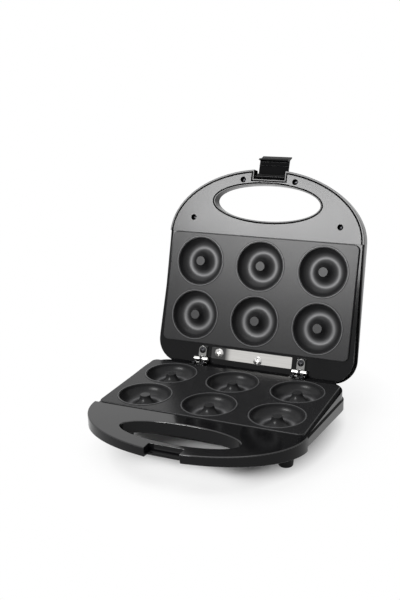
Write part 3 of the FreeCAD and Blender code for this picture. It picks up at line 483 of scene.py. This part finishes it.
def try_rounding(node, radius, kept_sharp):
    """A copy of a node with its edges rounded, except near kept points, and the points where that fails."""
    bm = node_copy(node)
    surface = BVHTree.FromBMesh(bm)
    kept = KDTree(len(kept_sharp))
    for i, point in enumerate(kept_sharp):
        kept.insert(point, i)
    kept.balance()
    edges = []
    for edge in soft_edges(bm, radius):
        near = kept.find((edge.verts[0].co + edge.verts[1].co) / 2)[2]
        if near is None or near > edge.calc_length() / 2 + ROUNDING_KEPT * radius:
            edges.append(edge)
    bmesh.ops.bevel(bm, geom=edges, offset=radius, offset_type="OFFSET", affect="EDGES", profile=0.5,
                    segments=EDGE_SEGMENTS, material=-1, clamp_overlap=False, loop_slide=False)
    most = ROUNDING_STRAY * radius
    astray = [v.co.copy() for v in bm.verts if surface.find_nearest(v.co)[3] > most]
    return bm, astray + crossings(bm)


def rounded_copy(node, radius):
    """A copy of a node with its sharp edges rounded. An edge whose rounding fails stays sharp."""
    kept_sharp = []
    for _ in range(ROUNDING_TRIES):
        bm, astray = try_rounding(node, radius, kept_sharp)
        if not astray:
            return bm
        bm.free()
        kept_sharp += astray
    return node_copy(node)


def softened(node, radius, material):
    """The node shaded smoothly, with its sharp edges rounded where there is a radius."""
    bm = rounded_copy(node, radius) if radius else node_copy(node)
    piece = new_piece(node + "_soft", bm, node, material)
    shading = piece.modifiers.new("even_shading", "WEIGHTED_NORMAL")
    shading.keep_sharp = True
    return piece


def below_face(piece, outward, depth, material):
    """Another finish on what lies deeper than the outer face of a piece, such as screw cups and edges."""
    top = max(v.co.dot(outward) for v in piece.data.vertices)
    piece.data.materials.append(material)
    for polygon in piece.data.polygons:
        if top - polygon.center.dot(outward) > depth:
            polygon.material_index = 1


def solids_of(node):
    """The points of each separate solid in a node."""
    bm = node_copy(node)
    seen = set()
    for first in bm.verts:
        if first in seen:
            continue
        seen.add(first)
        front = [first]
        solid = []
        while front:
            vert = front.pop()
            solid.append(vert.co.copy())
            around = [edge.other_vert(vert) for edge in vert.link_edges]
            fresh = [other for other in around if other not in seen]
            seen.update(fresh)
            front += fresh
        yield solid
    bm.free()


def extruded_rim(bm, rim_edges):
    """A rim extruded in place: the points and edges of the new rim."""
    made = bmesh.ops.extrude_edge_only(bm, edges=rim_edges)["geom"]
    points = [item for item in made if isinstance(item, bmesh.types.BMVert)]
    edges = [item for item in made if isinstance(item, bmesh.types.BMEdge)]
    return points, edges


def cross_head(bm, radius):
    """A domed head with a cross pressed in and its top at z = 0: the points and edges of its open rim."""
    arm = CROSS_ARM * radius
    half = CROSS_HALF_WIDTH * radius
    dome = HEAD_DOME * radius
    corner = [(arm, -half), (arm, half), (half, half)]
    turns = [Matrix.Rotation(math.radians(90 * i), 2) for i in range(4)]
    outline = [turn @ Vector(point) for turn in turns for point in corner]
    cross = bm.faces.new([bm.verts.new((x, y, 0)) for x, y in outline])
    lowered = Matrix.Translation((0, 0, -dome))
    bmesh.ops.create_circle(bm, segments=HEAD_SIDES, radius=radius, matrix=lowered)
    rim_edges = [e for e in bm.edges if e.is_wire]
    bmesh.ops.bridge_loops(bm, edges=list(cross.edges) + rim_edges)
    pressed = bmesh.ops.extrude_discrete_faces(bm, faces=[cross])["faces"][0]
    bmesh.ops.scale(bm, vec=(CROSS_TAPER, CROSS_TAPER, 1), verts=pressed.verts)
    bmesh.ops.translate(bm, vec=(0, 0, -CROSS_DEPTH), verts=pressed.verts)
    points, edges = extruded_rim(bm, rim_edges)
    bmesh.ops.translate(bm, vec=(0, 0, dome), verts=points)
    return points, edges


def cross_screw(solid, outward, spread):
    """A screw where a plain solid is: a domed head with a cross recess, and its shank."""
    levels = sorted({round(p.dot(outward), LEVEL_DIGITS) for p in solid}, reverse=True)
    top, under_head, tip = levels[0], levels[1], levels[-1]
    head = [p for p in solid if abs(p.dot(outward) - top) < LEVEL_SLACK]
    shank = [p for p in solid if abs(p.dot(outward) - tip) < LEVEL_SLACK]
    middle = sum(head, Vector()) / len(head)
    radius = spread * max((p - middle).length for p in head)
    shank_radius = max((p - middle - outward * (p - middle).dot(outward)).length for p in shank)
    slimmer = shank_radius / radius
    bm = bmesh.new()
    rim, rim_edges = cross_head(bm, radius)
    bmesh.ops.translate(bm, vec=(0, 0, under_head - top), verts=rim)
    neck, neck_edges = extruded_rim(bm, rim_edges)
    bmesh.ops.scale(bm, vec=(slimmer, slimmer, 1), verts=neck)
    end, end_edges = extruded_rim(bm, neck_edges)
    bmesh.ops.translate(bm, vec=(0, 0, tip - under_head), verts=end)
    bmesh.ops.contextual_create(bm, geom=end_edges)
    bmesh.ops.recalc_face_normals(bm, faces=bm.faces)
    turn = outward.to_track_quat("Z", "Y").to_matrix().to_4x4()
    bm.transform(Matrix.Translation(middle) @ turn)
    return bm


def cross_screws(node, outward, material, spread=1.0):
    """The screws of a node with cross recesses, as one piece. A spread over 1 gives wider heads."""
    screws = bmesh.new()
    for solid in solids_of(node):
        screw = cross_screw(solid, outward, spread)
        spare = bpy.data.meshes.new("screw")
        screw.to_mesh(spare)
        screw.free()
        screws.from_mesh(spare)
        bpy.data.meshes.remove(spare)
    new_piece(node + "_cross", screws, node, material)


# Studio
def cleared(owner):
    """The shading of a material or world, with no nodes left in it."""
    owner.use_nodes = True
    owner.node_tree.nodes.clear()
    return Shading(owner.node_tree)


def floor_paper():
    """Pale paper that takes the shadow near the object and runs out to white."""
    material = bpy.data.materials.new("floor_paper")
    shading = cleared(material)
    place = shading.node("ShaderNodeTexCoord", {}, {}, "Object")
    shrink = (1 / PAPER_HALF_WIDTH, 1 / PAPER_HALF_DEPTH, 0)
    spread = shading.node("ShaderNodeMapping", {}, {"Vector": place, "Scale": shrink})
    distance = shading.node("ShaderNodeVectorMath", {"operation": "LENGTH"}, {0: spread}, "Value")
    away = shading.ramp(distance, PAPER_FADE)
    paper = shading.node("ShaderNodeBsdfDiffuse", {}, {"Color": (PAPER_TONE, PAPER_TONE, PAPER_TONE, 1)})
    white = shading.node("ShaderNodeEmission", {}, {"Color": (1, 1, 1, 1), "Strength": 1.0})
    mixed = shading.node("ShaderNodeMixShader", {}, {0: shading.looked_at() * away, 1: paper, 2: white})
    shading.node("ShaderNodeOutputMaterial", {}, {"Surface": mixed})
    return material


def make_floor():
    bm = bmesh.new()
    bmesh.ops.create_grid(bm, x_segments=1, y_segments=1, size=FLOOR_HALF_WIDTH)
    mesh = bpy.data.meshes.new("floor")
    bm.to_mesh(mesh)
    bm.free()
    floor = add_object("floor", mesh)
    dress(floor, floor_paper())


def make_world():
    """A sky that is white to look at and gives a soft light."""
    world = bpy.data.worlds.new("studio")
    bpy.context.scene.world = world
    shading = cleared(world)
    strength = SKY_LIGHT + (1 - SKY_LIGHT) * shading.looked_at()
    sky = shading.node("ShaderNodeBackground", {}, {"Color": (1, 1, 1, 1), "Strength": strength})
    shading.node("ShaderNodeOutputWorld", {}, {"Surface": sky})


def softbox(name, place, aim, size, power):
    light = bpy.data.lights.new(name, "AREA")
    light.shape = "RECTANGLE"
    light.size, light.size_y = size
    light.energy = power
    lamp = add_object(name, light)
    lamp.location = place
    lamp.rotation_euler = (Vector(aim) - Vector(place)).to_track_quat("-Z", "Y").to_euler()


def make_camera():
    a, e = CAMERA_AZIMUTH, CAMERA_ELEVATION
    back = Vector((math.sin(a) * math.cos(e), -math.cos(a) * math.cos(e), math.sin(e)))
    level = Vector((math.cos(a), math.sin(a), 0))
    above = back.cross(level)
    right = level * math.cos(CAMERA_ROLL) + above * math.sin(CAMERA_ROLL)
    up = above * math.cos(CAMERA_ROLL) - level * math.sin(CAMERA_ROLL)
    data = bpy.data.cameras.new("camera")
    data.sensor_width = SENSOR
    data.lens = CAMERA_FOCAL_PIXELS / PICTURE_HEIGHT * SENSOR
    camera = add_object("camera", data)
    turn = Matrix((right, up, back)).transposed().to_4x4()
    camera.matrix_world = Matrix.Translation(CAMERA_PLACE) @ turn
    bpy.context.scene.camera = camera


make_camera()

black = gloss_plastic("gloss_plastic", shine=0.14)
clip_black = gloss_plastic("clip_plastic", shine=0.05)
handle_black = gloss_plastic("handle_plastic", shine=0.55)
panel = panel_plastic()
satin = satin_plastic()
cover = grained_cover()
base_coating = nonstick("base_plate", UP)
lid_coating = nonstick("lid_plate", LID_FACE)
# The left end of the strip carries a painted dark reflection
strip_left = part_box("rear_strip")[0][0]
dark_reflection_from = strip_left + STRIP_DARK_REFLECTION_LENGTH
strip_steel = rolled_steel("strip_steel", (0.06, 0.06, 0.06), (0.64, 0.63, 0.61), dark_reflection_from)
knuckle_steel = rolled_steel("knuckle_steel", (0.34, 0.34, 0.33), (0.52, 0.52, 0.51))
tab_steel = rolled_steel("tab_steel", (0.18, 0.18, 0.18), (0.32, 0.32, 0.31))
# A near-black copy of the steel, for painted shade on the hinge leaves
painted_shade_steel = rolled_steel("painted_shade_steel", (0.01, 0.01, 0.011), (0.03, 0.03, 0.031))
foot = foot_plastic()
bright_screw = plated_screw("bright_screw", (0.40, 0.40, 0.39), (0.62, 0.61, 0.60))
dark_screw = plated_screw("dark_screw", (0.02, 0.02, 0.022), (0.06, 0.06, 0.065))
sheath = sheath_metal()
shield = coated_sheet()
red = lens_plastic("red_lens_plastic", (0.46, 0.012, 0.016), (0.72, 0.05, 0.055))
green = lens_plastic("green_lens_plastic", (0.008, 0.30, 0.16), (0.05, 0.52, 0.33))

# Inner and small pieces keep their solids
FINISHES = {
    "base_heating_element": sheath,
    "lid_heating_element": sheath,
    "base_heat_shield": shield,
    "lid_heat_shield": shield,
    "thermostat": small_part("thermostat_body", (0.05, 0.03, 0.02), (0.09, 0.06, 0.04), roughness=0.4),
    "thermal_fuse": small_part("fuse_body", (0.62, 0.60, 0.55), (0.74, 0.72, 0.68), roughness=0.45),
    "terminal_block": small_part("block_nylon", (0.66, 0.64, 0.58), (0.76, 0.74, 0.70), roughness=0.4),
    "indicator_lamps": small_part("lamp_glass", (0.50, 0.36, 0.24), (0.62, 0.48, 0.36), roughness=0.1),
    "latch_pin": bright_screw,
    "lid_plate_screws": bright_screw,
    "tub_handle_screws": bright_screw,
}
for name, material in FINISHES.items():
    dress(nodes[name], material)

# Pieces that show are shaded smoothly. Their edges are rounded by a radius in millimetres, or left sharp at 0
SHOWN = {
    "base_handle": (0.35, handle_black),
    "base_handle_underside": (0.3, satin),
    "base_tub": (0.4, black),
    "lid_shell": (0.35, black),
    "lid_handle_panel": (0.3, panel),
    "lid_top_cover": (0.3, cover),
    "latch_clip": (0.3, clip_black),
    "base_plate": (0, base_coating),
    "lid_plate": (0, lid_coating),
    "lens_bezel": (0.3, black),
    "rear_strip": (0, strip_steel),
    "red_lens": (0, red),
    "green_lens": (0, green),
}
for side in SIDES:
    SHOWN["hinge_base_leaf_" + side] = (0.15, knuckle_steel)
    SHOWN["hinge_lid_leaf_" + side] = (0.15, tab_steel)
    SHOWN["hinge_pin_" + side] = (0.2, bright_screw)
    SHOWN["foot_front_" + side] = (0.3, foot)
    SHOWN["foot_rear_" + side] = (0.3, foot)
shown = {name: softened(name, radius * MM, material) for name, (radius, material) in SHOWN.items()}
below_face(shown["lid_handle_panel"], LID_FACE, PANEL_FACE, black)
below_face(shown["base_handle"], UP, HANDLE_TOP, black)
# Painted shade: the hinge leaves turn near black below the tops of the knuckles and the tabs
for side in SIDES:
    below_face(shown["hinge_base_leaf_" + side], UP, BASE_LEAF_TOP, painted_shade_steel)
    below_face(shown["hinge_lid_leaf_" + side], LID_UP, LID_LEAF_TAB, painted_shade_steel)

# Painted shade: the base hinge screws are dark as the shade below the knuckles
cross_screws("hinge_base_screws", UP, dark_screw)
cross_screws("base_plate_screws", -UP, bright_screw)
cross_screws("base_handle_screws", -UP, dark_screw)
# Painted shade: the lid hinge screws are dark as the shade in the holes of the tabs
cross_screws("hinge_lid_screws", LID_FACE, dark_screw, WIDE_HEAD)
cross_screws("rear_strip_screws", LID_FACE, bright_screw, WIDE_HEAD)
cross_screws("lid_handle_screws", LID_FACE, dark_screw)

make_floor()
make_world()
softbox("front_light", place=(-0.70, -2.0, 1.13), aim=(0, 0.05, 0.12), size=(1.0, 0.42), power=43)
softbox("top_light", place=(-0.3, -0.2, 2.2), aim=(0, 0, 0), size=(1.8, 1.8), power=18)
bpy.context.scene.view_settings.view_transform = "Standard"
